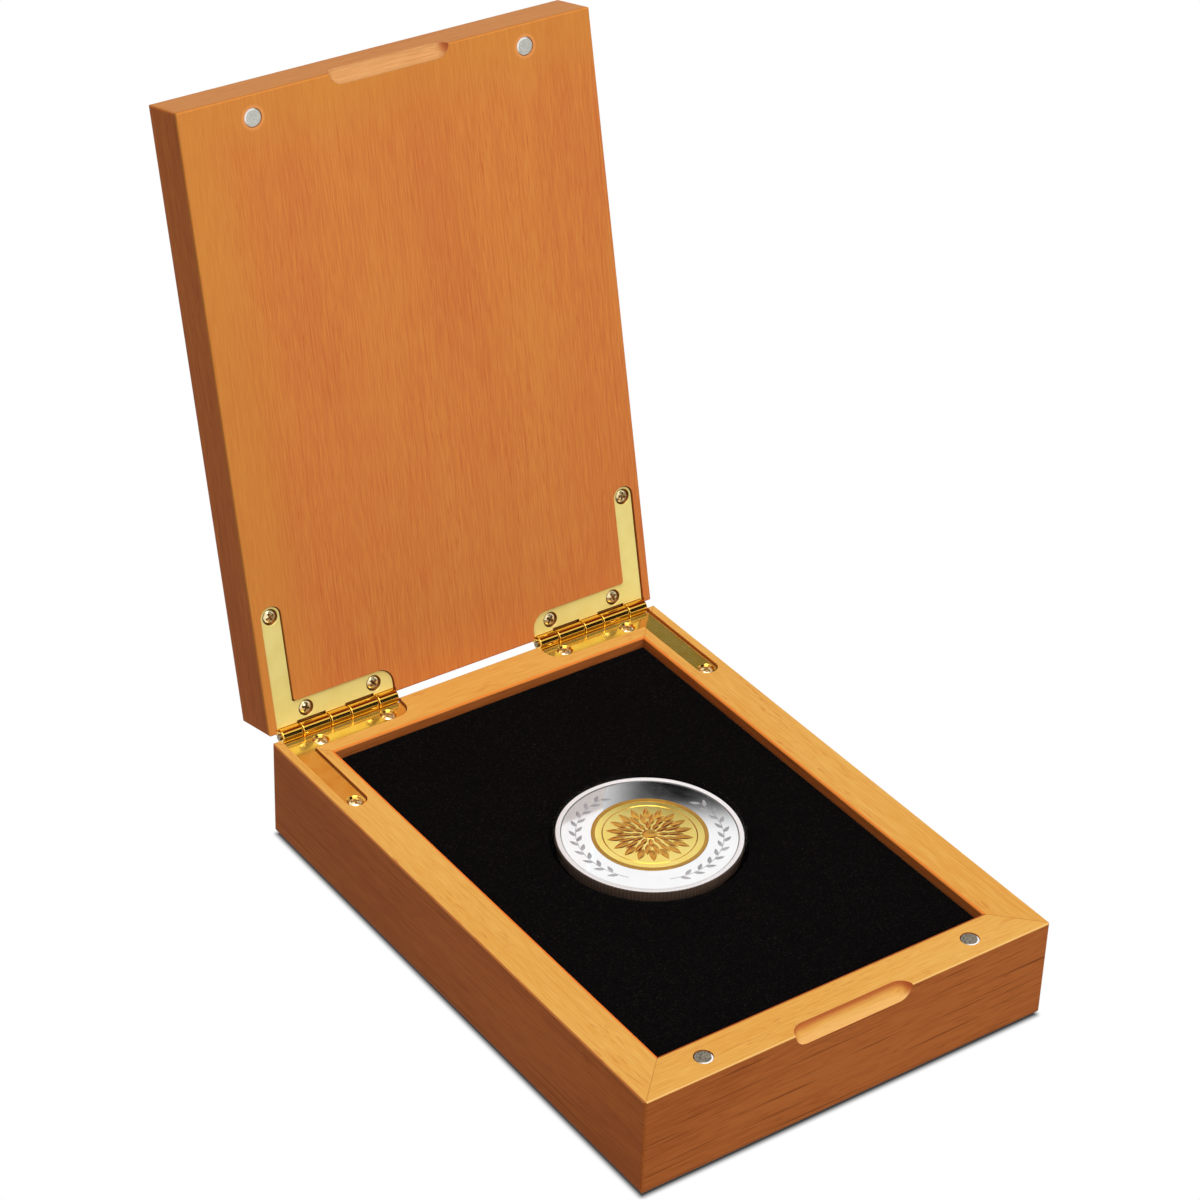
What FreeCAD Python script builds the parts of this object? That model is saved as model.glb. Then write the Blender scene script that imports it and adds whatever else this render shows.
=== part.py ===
import FreeCAD, Part
import math
import os

# Hinged wooden coin case, standing open: a framed base with a velvet tray, a veneered lid on two L-shaped
# hinges, and a two-metal coin in a clear capsule. Millimetres and degrees. The origin is the middle of the
# underside, +X is to the right, +Y is towards the hinges and +Z is up.

# Case
case_width = 100.0
case_length = 137.0
base_height = 24.0
lid_thickness = 13.0
rail_width = 9.7
outer_round = 2.0
upright_round = 0.6
arris_round = 0.4
closed_gap = 0.4
open_angle = 103.2

# Bottom panel and velvet insert
bottom_thickness = 4.0
bottom_rebate = 5.0
bottom_clearance = 0.1
tray_depth = 2.0
insert_clearance = 0.2
velvet_thickness = 0.8
velvet_turn_down = 8.0
velvet_round = 0.6
wrap_clearance = 0.05

# Lid board
veneer_thickness = 0.7
core_clearance = 0.1

# Finger cove, cut with a round-nosed tool whose path lies just outside the front arris
cove_length = 22.6
cove_radius = 3.2
cove_path_offset = 0.5

# Magnets, in the middle of the front rails
magnet_diameter = 4.0
magnet_depth = 3.0
magnet_side_offset = 17.0
magnet_chamfer = 0.2
magnet_clearance = 0.05
magnet_set_in = 0.1

# Hinge leaves
hinge_length = 29.2
leaf_thickness = 1.0
leaf_side_inset = 2.25
leaf_arm_width = 4.5
leaf_arm_reach = 28.6
leaf_back_width = 6.0
leaf_corner_round = 3.5
leaf_inner_round = 0.5
leaf_end_share = 0.48
leaf_clearance = 0.25
base_leaf_depth = 0.6
lid_leaf_depth = 0.45

# Hinge barrel and pin
barrel_diameter = 3.4
barrel_clearance = 0.12
lid_notch_clearance = 0.5
barrel_web_share = 0.4
short_knuckle_share = 0.72
short_knuckles = 3
long_knuckles = 2
knuckle_gap = 0.16
knuckle_round = 0.25
pin_diameter = 1.4
pin_clearance = 0.03
pin_overhang = 0.3
pin_setback = 0.7

# Screws: oval countersunk heads with a cross slot
screw_head_diameter = 2.9
screw_head_dome = 0.5
screw_head_set_in = 0.4
screw_shank_diameter = 2.0
screw_length = 7.0
screw_tip = 1.2
screw_slot_length = 2.0
screw_slot_width = 0.55
screw_slot_depth = 0.7
screw_clearance = 0.03
screw_back_offset = 3.6
screw_corner_offset = 7.6
screw_end_offset = 4.6
screw_turns = (20.0, 65.0, 38.0)

# Coin
coin_diameter = 39.4
coin_thickness = 2.9
coin_rim_width = 1.1
coin_relief = 0.2
coin_edge_round = 0.15
coin_core_diameter = 24.5
coin_core_rim_width = 0.8
coin_core_clearance = 0.02

# Capsule
capsule_wall = 0.7
capsule_plate = 0.7
capsule_round = 0.3
capsule_fit = 0.05
capsule_parting_share = 0.5
capsule_lid_clearance = 0.4
capsule_pocket_clearance = 0.3
capsule_rest_clearance = 0.05
coin_side_clearance = 0.1
coin_rest_clearance = 0.05
coin_top_clearance = 0.1

# Overrun of cutting tools past the faces that they cut
overrun = 1.0

# Places that follow from the sizes above
half_width = case_width / 2
half_length = case_length / 2
opening_width = case_width - 2 * rail_width
opening_length = case_length - 2 * rail_width
lid_face = base_height + closed_gap
lid_top = lid_face + lid_thickness

leaf_outer = half_width - leaf_side_inset
leaf_inner = leaf_outer - hinge_length
leaf_arm_inner = leaf_outer - leaf_arm_width
base_leaf_face = base_height - base_leaf_depth
lid_leaf_face = lid_face + lid_leaf_depth
barrel_radius = barrel_diameter / 2
pin_y = half_length + pin_setback
pin_z = base_height + closed_gap / 2

coin_radius = coin_diameter / 2
coin_core_radius = coin_core_diameter / 2
coin_space_radius = coin_radius + coin_side_clearance
capsule_radius = coin_space_radius + capsule_wall
capsule_height = 2 * capsule_plate + coin_rest_clearance + coin_thickness + coin_top_clearance
capsule_top = lid_face - capsule_lid_clearance
capsule_bottom = capsule_top - capsule_height
coin_bottom = capsule_bottom + capsule_plate + coin_rest_clearance

velvet_top = base_height - tray_depth
block_top = velvet_top - velvet_thickness
pocket_radius = capsule_radius + capsule_pocket_clearance
pocket_floor = capsule_bottom - capsule_rest_clearance
velvet_width = opening_width - 2 * insert_clearance
velvet_length = opening_length - 2 * insert_clearance
wrap_inset = velvet_thickness + wrap_clearance


def vector(x, y, z):
    return FreeCAD.Vector(x, y, z)


def flat(z):
    """Lays an outline level, at height z."""
    return lambda spot: vector(spot.x, spot.y, z)


def facing_x(x):
    """Stands an outline up as a section at x, with its first measure along Y."""
    return lambda spot: vector(x, spot.x, spot.y)


def facing_y(y):
    """Stands an outline up as a section at y, with its first measure along X."""
    return lambda spot: vector(spot.x, y, spot.y)


def rounded_face(corners, place):
    """A flat face through corners (a, b, radius), each rounded by its radius and laid in space by place."""
    spots = [vector(a, b, 0) for a, b, radius in corners]
    turns = []
    for index, (a, b, radius) in enumerate(corners):
        spot = spots[index]
        to_last = (spots[index - 1] - spot).normalize()
        to_next = (spots[(index + 1) % len(spots)] - spot).normalize()
        half_angle = to_last.getAngle(to_next) / 2
        reach = radius / math.tan(half_angle)
        inward = (to_last + to_next).normalize()
        middle = spot + inward * (radius / math.sin(half_angle) - radius)
        turns.append((spot + to_last * reach, middle, spot + to_next * reach, radius))
    edges = []
    for index, (arrive, middle, leave, radius) in enumerate(turns):
        if radius > 0:
            edges.append(Part.Arc(place(arrive), place(middle), place(leave)).toShape())
        following = turns[(index + 1) % len(turns)][0]
        edges.append(Part.LineSegment(place(leave), place(following)).toShape())
    return Part.Face(Part.Wire(edges))


def rectangle(half, low, high, low_round=0, high_round=0):
    """Corners of a rectangle that is centred across and runs from low to high."""
    return [(-half, low, low_round), (half, low, low_round), (half, high, high_round), (-half, high, high_round)]


def box(low, high):
    """A plain box between two opposite corners."""
    size = [end - start for start, end in zip(low, high)]
    return Part.makeBox(*size, vector(*low))


def centred_box(width, length, low, high):
    return box((-width / 2, -length / 2, low), (width / 2, length / 2, high))


def disc(radius, low, high):
    return Part.makeCylinder(radius, high - low, vector(0, 0, low))


def turned(corners):
    """A solid turned about the Z axis from a section of (radius, height, rounding) corners."""
    solid = rounded_face(corners, facing_y(0)).revolve(vector(0, 0, 0), vector(0, 0, 1), 360)
    return one_solid(solid)


def one_solid(shape):
    """The single solid of a shape, with its faces outwards."""
    solid = shape.Solids[0]
    if solid.Volume < 0:
        solid.reverse()
    return solid


def moved(shape, x, y, z):
    copy = shape.copy()
    copy.translate(vector(x, y, z))
    return copy


def mirrored_x(shape):
    return shape.mirror(vector(0, 0, 0), vector(1, 0, 0))


def turned_over(shape):
    """The same piece upside down."""
    return shape.mirror(vector(0, 0, 0), vector(0, 0, 1))


def both_sides(shape):
    return [shape, mirrored_x(shape)]


def rounded_block(low, high, low_round, high_round):
    """The case's outer block between two heights, with its lower, upper and upright edges rounded."""
    side = rounded_face(rectangle(half_length, low, high, low_round, high_round), facing_x(-half_width - overrun))
    side = side.extrude(vector(case_width + 2 * overrun, 0, 0))
    end = rounded_face(rectangle(half_width, low, high, low_round, high_round), facing_y(-half_length - overrun))
    end = end.extrude(vector(0, case_length + 2 * overrun, 0))
    plan = rectangle(half_width, -half_length, half_length, upright_round, upright_round)
    upright = rounded_face(plan, flat(low)).extrude(vector(0, 0, high - low))
    return upright.common(side).common(end)


def opening_section(half):
    """Section of the tray opening, flared at the top so that the rails' inner arris is left rounded."""
    flare = half + arris_round + overrun
    top = base_height + overrun
    return [
        (-half, bottom_thickness - overrun, 0),
        (half, bottom_thickness - overrun, 0),
        (half, base_height, arris_round),
        (flare, base_height, 0),
        (flare, top, 0),
        (-flare, top, 0),
        (-flare, base_height, 0),
        (-half, base_height, arris_round),
    ]


def tray_opening():
    across = rounded_face(opening_section(opening_width / 2), facing_y(-half_length - overrun))
    across = across.extrude(vector(0, case_length + 2 * overrun, 0))
    along = rounded_face(opening_section(opening_length / 2), facing_x(-half_width - overrun))
    along = along.extrude(vector(case_width + 2 * overrun, 0, 0))
    return across.common(along)


def mitre_wedges(low, high):
    """Four upright wedges that part a frame along its mitres, by side."""
    outer_x = half_width + overrun
    outer_y = half_length + overrun
    inner_x = half_width - rail_width - overrun
    inner_y = half_length - rail_width - overrun
    plans = {
        "front": [(-outer_x, -outer_y), (outer_x, -outer_y), (inner_x, -inner_y), (-inner_x, -inner_y)],
        "back": [(outer_x, outer_y), (-outer_x, outer_y), (-inner_x, inner_y), (inner_x, inner_y)],
        "left": [(-outer_x, outer_y), (-outer_x, -outer_y), (-inner_x, -inner_y), (-inner_x, inner_y)],
        "right": [(outer_x, -outer_y), (outer_x, outer_y), (inner_x, inner_y), (inner_x, -inner_y)],
    }
    wedges = {}
    for side, plan in plans.items():
        face = rounded_face([(x, y, 0) for x, y in plan], flat(low))
        wedges[side] = face.extrude(vector(0, 0, high - low))
    return wedges


def mitred_rails(frame, cuts, low, high):
    """The frame's four rails, by side, with the cuts for hinges, magnets and cove taken out."""
    rails = {}
    for side, wedge in mitre_wedges(low, high).items():
        rails[side] = one_solid(frame.common(wedge).cut(cuts))
    return rails


def finger_cove(face):
    """Cutter for the cove in the front arris of the face at this height."""
    y = -half_length - cove_path_offset
    start = vector(-cove_length / 2, y, face)
    end = vector(cove_length / 2, y, face)
    bar = Part.makeCylinder(cove_radius, cove_length, start, vector(1, 0, 0))
    return bar.fuse([Part.makeSphere(cove_radius, start), Part.makeSphere(cove_radius, end)])


def magnet():
    """A round magnet with chamfered rims, hanging below height zero."""
    radius = magnet_diameter / 2
    flat_radius = radius - magnet_chamfer
    return turned([
        (0, -magnet_depth, 0),
        (flat_radius, -magnet_depth, 0),
        (radius, magnet_chamfer - magnet_depth, 0),
        (radius, -magnet_chamfer, 0),
        (flat_radius, 0, 0),
        (0, 0, 0),
    ])


def magnet_pocket():
    return disc(magnet_diameter / 2 + magnet_clearance, -magnet_depth, magnet_set_in + overrun)


def on_base_magnet_seat(shape):
    return moved(shape, half_width - magnet_side_offset, rail_width / 2 - half_length, base_height - magnet_set_in)


def on_lid_magnet_seat(shape):
    place = (half_width - magnet_side_offset, rail_width / 2 - half_length, lid_face + magnet_set_in)
    return moved(turned_over(shape), *place)


# Hinge pieces are drawn for the right-hand side with the leaf's showing face up at height zero and the
# back face of the case at y = 0. The lid's are the same pieces turned upside down.


def on_base_leaf_seat(shape):
    return moved(shape, 0, half_length, base_leaf_face)


def on_lid_leaf_seat(shape):
    return moved(turned_over(shape), 0, half_length, lid_leaf_face)


def leaf_plan(spare, back):
    """Outline of an L-shaped leaf, or with some spare room of its recess, running back to y = back."""
    end_round = leaf_end_share * (leaf_arm_width + 2 * spare)
    return [
        (leaf_outer + spare, back, 0),
        (leaf_inner - spare, back, 0),
        (leaf_inner - spare, -leaf_back_width - spare, leaf_corner_round + spare),
        (leaf_arm_inner - spare, -leaf_back_width - spare, leaf_inner_round),
        (leaf_arm_inner - spare, -leaf_arm_reach - spare, end_round),
        (leaf_outer + spare, -leaf_arm_reach - spare, end_round),
    ]


def knuckle_spans():
    """Start and end of each knuckle along X, from the outer end: short, long, short, long, short."""
    long_length = hinge_length / (long_knuckles + short_knuckles * short_knuckle_share)
    spans = []
    start = leaf_outer
    for index in range(long_knuckles + short_knuckles):
        length = long_length if index % 2 else long_length * short_knuckle_share
        spans.append((start - length, start))
        start = start - length
    return spans


def x_cylinder(radius, start, end, y, z):
    return Part.makeCylinder(radius, end - start, vector(start, y, z), vector(1, 0, 0))


def knuckle(start, end, height):
    """A knuckle with rounded ends, from start to end along X, about the pin's axis at this height."""
    length = end - start
    barrel = turned([
        (0, 0, 0),
        (barrel_radius, 0, knuckle_round),
        (barrel_radius, length, knuckle_round),
        (0, length, 0),
    ])
    barrel.rotate(vector(0, 0, 0), vector(0, 1, 0), 90)
    return moved(barrel, start, pin_setback, height)


def screw_places():
    """Where the three screws of a leaf stand."""
    return [
        (leaf_outer - leaf_arm_width / 2, leaf_arm_width / 2 - leaf_arm_reach),
        (leaf_outer - screw_corner_offset, -screw_back_offset),
        (leaf_inner + screw_end_offset, -screw_back_offset),
    ]


def screw_holes():
    """Countersunk holes for the three screws, through the leaf and into the wood."""
    mouth = screw_head_diameter / 2 + screw_head_set_in
    shank = screw_shank_diameter / 2
    foot = -screw_length - screw_head_set_in - screw_clearance
    hole = turned([
        (0, foot, 0),
        (shank + screw_clearance, foot, 0),
        (shank + screw_clearance, shank - mouth, 0),
        (mouth + screw_clearance, 0, 0),
        (mouth + screw_clearance, screw_head_dome + overrun, 0),
        (0, screw_head_dome + overrun, 0),
    ])
    return [moved(hole, x, y, 0) for x, y in screw_places()]


def screw(turn):
    """A screw, head up with its rim at height zero."""
    head = screw_head_diameter / 2
    shank = screw_shank_diameter / 2
    dome_radius = (head ** 2 + screw_head_dome ** 2) / (2 * screw_head_dome)
    body = turned([
        (0, -screw_length, 0),
        (shank, screw_tip - screw_length, 0),
        (shank, shank - head, 0),
        (head, 0, 0),
        (head, screw_head_dome, 0),
        (0, screw_head_dome, 0),
    ])
    dome = Part.makeSphere(dome_radius, vector(0, 0, screw_head_dome - dome_radius))
    below = disc(head, -screw_length, 0)
    body = body.common(dome.fuse(below))
    for angle in (turn, turn + 90):
        slot = centred_box(screw_slot_length, screw_slot_width, screw_head_dome - screw_slot_depth, screw_head_dome)
        slot.rotate(vector(0, 0, 0), vector(0, 0, 1), angle)
        body = body.cut(slot)
    return one_solid(body.removeSplitter())


def leaf_screws():
    """The three screws of a leaf, with the rims of their heads a little below its face."""
    seats = zip(screw_turns, screw_places())
    return Part.makeCompound([moved(screw(turn), x, y, -screw_head_set_in) for turn, (x, y) in seats])


def leaf(pin_height, first, clearance):
    """A leaf with every second knuckle, counted from first, and the pin's axis above its face. The clearance is
    the room that it leaves round the other leaf's knuckles."""
    bottom = -leaf_thickness
    plate = rounded_face(leaf_plan(0, pin_setback), flat(bottom)).extrude(vector(0, 0, leaf_thickness))
    web_start = pin_setback - barrel_radius * barrel_web_share
    added = []
    removed = screw_holes()
    for index, (start, end) in enumerate(knuckle_spans()):
        if index % 2 == first:
            start = start + knuckle_gap / 2
            end = end - knuckle_gap / 2
            added.append(knuckle(start, end, pin_height))
            added.append(box((start, web_start, bottom), (end, pin_setback, pin_height)))
        else:
            start = start - knuckle_gap / 2
            end = end + knuckle_gap / 2
            plate = plate.cut(x_cylinder(barrel_radius + clearance, start, end, pin_setback, pin_height))
    bore = pin_diameter / 2 + pin_clearance
    removed.append(x_cylinder(bore, leaf_inner - overrun, leaf_outer + overrun, pin_setback, pin_height))
    return one_solid(plate.fuse(added).cut(removed).removeSplitter())


def leaf_recess(depth):
    """Recess for a leaf whose face lies at this depth below the wood."""
    face = rounded_face(leaf_plan(leaf_clearance, overrun), flat(-leaf_thickness))
    return face.extrude(vector(0, 0, leaf_thickness + depth + overrun))


def barrel_groove():
    """Groove that the barrel turns in, at its place on the shut case."""
    end_room = pin_overhang + barrel_clearance
    radius = barrel_radius + barrel_clearance
    return x_cylinder(radius, leaf_inner - end_room, leaf_outer + end_room, pin_y, pin_z)


def hinge_pin():
    start = leaf_inner - pin_overhang
    end = leaf_outer + pin_overhang
    return one_solid(x_cylinder(pin_diameter / 2, start, end, pin_y, pin_z))


def wood_cuts(face, recess, holes, pocket):
    """All the cuts in one half of the case: cove, hinge recesses, barrel grooves, screw holes and pockets."""
    cuts = [finger_cove(face)]
    for tool in [recess, barrel_groove(), pocket, *holes]:
        cuts.extend(both_sides(tool))
    return cuts


def opened(shape):
    """A piece of the shut lid, swung open about the hinge pins."""
    copy = shape.copy()
    copy.rotate(vector(0, pin_y, pin_z), vector(1, 0, 0), -open_angle)
    return copy


def base_pieces():
    recess = on_base_leaf_seat(leaf_recess(base_leaf_depth))
    holes = [on_base_leaf_seat(hole) for hole in screw_holes()]
    pocket = on_base_magnet_seat(magnet_pocket())
    cuts = wood_cuts(base_height, recess, holes, pocket)
    rebate_room = 2 * bottom_rebate
    rebate = centred_box(opening_width + rebate_room, opening_length + rebate_room, -overrun, bottom_thickness)
    frame = rounded_block(0, base_height, outer_round, arris_round).cut([tray_opening(), rebate])
    pieces = {}
    for side, rail in mitred_rails(frame, cuts, -overrun, base_height + overrun).items():
        pieces["base_" + side + "_rail"] = rail
    panel_room = 2 * (bottom_rebate - bottom_clearance)
    pieces["base_bottom_panel"] = centred_box(
        opening_width + panel_room, opening_length + panel_room, 0, bottom_thickness
    )
    return pieces


def insert_pieces():
    """The block that fills the base, and the velvet over it and down into the capsule's pocket."""
    hole = disc(pocket_radius + wrap_inset, pocket_floor - wrap_inset, block_top + overrun)
    block = centred_box(velvet_width - 2 * wrap_inset, velvet_length - 2 * wrap_inset, bottom_thickness, block_top)
    cover = centred_box(velvet_width, velvet_length, block_top - velvet_turn_down, velvet_top)
    rim = [edge for edge in cover.Edges if edge.CenterOfMass.z > block_top]
    cover = cover.makeFillet(velvet_round, rim)
    inside_width = velvet_width - 2 * velvet_thickness
    inside_length = velvet_length - 2 * velvet_thickness
    cover = cover.cut(centred_box(inside_width, inside_length, block_top - velvet_turn_down - overrun, block_top))
    liner = disc(pocket_radius + velvet_thickness, pocket_floor - velvet_thickness, velvet_top)
    pocket = disc(pocket_radius, pocket_floor, velvet_top + overrun)
    return {
        "insert_block": one_solid(block.cut(hole)),
        "insert_velvet": one_solid(cover.fuse(liner).cut(pocket).removeSplitter()),
    }


def lid_pieces():
    """The lid's edge rails, core board and face sheets, drawn shut."""
    recess = on_lid_leaf_seat(leaf_recess(lid_leaf_depth))
    holes = [on_lid_leaf_seat(hole) for hole in screw_holes()]
    pocket = on_lid_magnet_seat(magnet_pocket())
    cuts = wood_cuts(lid_face, recess, holes, pocket)
    block = rounded_block(lid_face, lid_top, arris_round, outer_round)
    board_low = lid_face + veneer_thickness
    board_high = lid_top - veneer_thickness
    sheet_width = case_width + overrun
    sheet_length = case_length + overrun
    inner = block.common(centred_box(sheet_width, sheet_length, lid_face - overrun, board_low))
    outer = block.common(centred_box(sheet_width, sheet_length, board_high, lid_top + overrun))
    middle = block.common(centred_box(sheet_width, sheet_length, board_low, board_high))
    frame = middle.cut(centred_box(opening_width, opening_length, board_low - overrun, board_high + overrun))
    pieces = {}
    for side, rail in mitred_rails(frame, cuts, lid_face, lid_top).items():
        pieces["lid_" + side + "_rail"] = rail
    core_width = opening_width - 2 * core_clearance
    core_length = opening_length - 2 * core_clearance
    pieces["lid_core_board"] = centred_box(core_width, core_length, board_low, board_high)
    pieces["lid_inner_veneer"] = one_solid(inner.cut(cuts))
    pieces["lid_outer_veneer"] = one_solid(outer)
    return pieces


def hinge_pieces(side, place):
    """Base leaf, pin and base screws of one hinge, and its lid leaf and lid screws, drawn shut."""
    base_leaf = on_base_leaf_seat(leaf(base_leaf_depth + closed_gap / 2, 1, barrel_clearance))
    lid_leaf = on_lid_leaf_seat(leaf(lid_leaf_depth + closed_gap / 2, 0, lid_notch_clearance))
    name = "hinge_" + side + "_"
    fixed = {
        name + "base_leaf": place(base_leaf),
        name + "base_screws": place(on_base_leaf_seat(leaf_screws())),
        name + "pin": place(hinge_pin()),
    }
    swinging = {
        name + "lid_leaf": place(lid_leaf),
        name + "lid_screws": place(on_lid_leaf_seat(leaf_screws())),
    }
    return fixed, swinging


def coin_pieces():
    field_low = coin_bottom + coin_relief
    field_high = coin_bottom + coin_thickness - coin_relief
    coin_top = coin_bottom + coin_thickness
    rim = coin_radius - coin_rim_width
    ring = turned([
        (coin_core_radius, field_low, 0),
        (rim, field_low, 0),
        (rim, coin_bottom, 0),
        (coin_radius, coin_bottom, coin_edge_round),
        (coin_radius, coin_top, coin_edge_round),
        (rim, coin_top, 0),
        (rim, field_high, 0),
        (coin_core_radius, field_high, 0),
    ])
    core_radius = coin_core_radius - coin_core_clearance
    core_rim = core_radius - coin_core_rim_width
    core = turned([
        (0, field_low, 0),
        (core_rim, field_low, 0),
        (core_rim, coin_bottom, 0),
        (core_radius, coin_bottom, 0),
        (core_radius, coin_top, 0),
        (core_rim, coin_top, 0),
        (core_rim, field_high, 0),
        (0, field_high, 0),
    ])
    return {"coin_ring": ring, "coin_core": core}


def capsule_pieces():
    """Two round dishes: the cover's skirt goes over the spigot that stands up from the base."""
    lip = (capsule_wall - capsule_fit) / 2
    spigot = coin_space_radius + lip
    floor = capsule_bottom + capsule_plate
    ceiling = capsule_top - capsule_plate
    parting = capsule_bottom + capsule_height * capsule_parting_share
    base = turned([
        (0, capsule_bottom, 0),
        (capsule_radius, capsule_bottom, capsule_round),
        (capsule_radius, parting, 0),
        (spigot, parting, 0),
        (spigot, ceiling - capsule_fit, 0),
        (coin_space_radius, ceiling - capsule_fit, 0),
        (coin_space_radius, floor, 0),
        (0, floor, 0),
    ])
    cover = turned([
        (0, ceiling, 0),
        (spigot + capsule_fit, ceiling, 0),
        (spigot + capsule_fit, parting + capsule_fit, 0),
        (capsule_radius, parting + capsule_fit, 0),
        (capsule_radius, capsule_top, capsule_round),
        (0, capsule_top, 0),
    ])
    return {"capsule_base": base, "capsule_cover": cover}


def all_pieces():
    fixed = {**base_pieces(), **insert_pieces(), **coin_pieces(), **capsule_pieces()}
    swinging = lid_pieces()
    base_magnet = on_base_magnet_seat(magnet())
    lid_magnet = on_lid_magnet_seat(magnet())
    for side, place in (("right", lambda shape: shape), ("left", mirrored_x)):
        fixed["base_magnet_" + side] = place(base_magnet)
        swinging["lid_magnet_" + side] = place(lid_magnet)
        hinge_fixed, hinge_swinging = hinge_pieces(side, place)
        fixed.update(hinge_fixed)
        swinging.update(hinge_swinging)
    for name, shape in swinging.items():
        fixed[name] = opened(shape)
    return fixed


os.makedirs("parts", exist_ok=True)
for name, shape in all_pieces().items():
    shape.exportStep("parts/" + name + ".step")
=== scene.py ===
import math

import bmesh
import bpy
from mathutils import Matrix, Vector


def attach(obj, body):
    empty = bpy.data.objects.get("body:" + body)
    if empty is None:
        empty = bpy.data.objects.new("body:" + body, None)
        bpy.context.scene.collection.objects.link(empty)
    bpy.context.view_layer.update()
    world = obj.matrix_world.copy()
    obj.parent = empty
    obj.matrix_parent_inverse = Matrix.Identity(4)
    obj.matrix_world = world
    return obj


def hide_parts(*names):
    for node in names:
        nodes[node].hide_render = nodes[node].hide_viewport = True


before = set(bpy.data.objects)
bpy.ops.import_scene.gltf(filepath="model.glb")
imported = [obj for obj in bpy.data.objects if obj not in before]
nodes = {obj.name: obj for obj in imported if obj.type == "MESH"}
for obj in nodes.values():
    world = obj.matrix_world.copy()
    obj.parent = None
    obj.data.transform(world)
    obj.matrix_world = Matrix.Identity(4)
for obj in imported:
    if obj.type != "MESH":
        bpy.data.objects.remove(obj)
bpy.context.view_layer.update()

# A hinged honey-stained coin case, standing open. Lengths are in millimetres until a mesh is placed, when
# they are scaled to metres, and the studio is set up in metres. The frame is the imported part's own.
mm = 0.001

case_half = (50.0, 68.5)
rail_width = 9.7
base_top = 24.0
lid_open = 103.2
pin_y, pin_z = 69.2, 24.2
lid_tilt = 180 - lid_open
lid_normal = (0, -math.sin(math.radians(lid_open)), -math.cos(math.radians(lid_open)))
lid_face, base_leaf_face, lid_leaf_face = 0.2, 0.8, 0.65
barrel_radius = 1.7
magnet_radius = 2.0
lid_magnet = (33.0, 132.85)
cove_half, cove_path, cove_radius = 11.3, 69.0, 3.2

velvet_top = 22.0
velvet_floor = 19.5
velvet_half = (40.1, 58.6)
velvet_tuck = 8.0
velvet_round, velvet_round_middle = 0.6, 0.18
velvet_border = 1.6
pocket_radius = 20.8
pocket_level = 2.5
pocket_foot, pocket_foot_middle = 0.7, 0.2

coin_radius = 19.7
coin_low, coin_high = 20.30, 23.20
coin_relief = 0.2
coin_rim = 1.1
coin_edge_round = 0.15
rim_slope, rim_bead = 0.15, 0.05
core_radius = 12.25
core_rim = 0.8
core_gap = 0.02
field = coin_high - coin_relief
reeds, reed_depth = 150, 0.1
mills, mill_depth, mill_chamfer = 216, 0.12, 0.06

relief_set_in = 0.02
boss_radius, boss_rise = 1.6, 0.17
fine_circle, fine_circle_half, fine_circle_rise = 9.9, 0.15, 0.09
stem_radius, stem_half, stem_rise = 15.4, 0.09, 0.08
stem_sweep = 124
spray_leaves, spray_leaf_step, spray_leaf_start = 10, 12, 8
spray_leaf = (2.5, 1.0, 0.15)


# Finishes


def tone(red, green, blue):
    """A colour given as on a paint chart, 0 to 255, as Blender's linear colour."""
    shares = [part / 255 for part in (red, green, blue)]
    linear = [s / 12.92 if s <= 0.04045 else ((s + 0.055) / 1.055) ** 2.4 for s in shares]
    return (*linear, 1.0)


class Value:
    """A shader output that adds Math nodes when it is used in a sum."""

    def __init__(self, finish, socket):
        self.finish = finish
        self.socket = socket

    def maths(self, operation, *terms):
        return self.finish.node("Math", {"operation": operation}, dict(enumerate(terms)))

    def __add__(self, other):
        return self.maths("ADD", self, other)

    def __sub__(self, other):
        return self.maths("SUBTRACT", self, other)

    def __mul__(self, other):
        return self.maths("MULTIPLY", self, other)

    def __pow__(self, other):
        return self.maths("POWER", self, other)

    def __abs__(self):
        return self.maths("ABSOLUTE", self)

    def __rsub__(self, other):
        return self.maths("SUBTRACT", other, self)

    __radd__ = __add__
    __rmul__ = __mul__

    def at_least(self, other):
        return self.maths("MAXIMUM", self, other)

    def at_most(self, other):
        return self.maths("MINIMUM", self, other)


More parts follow.
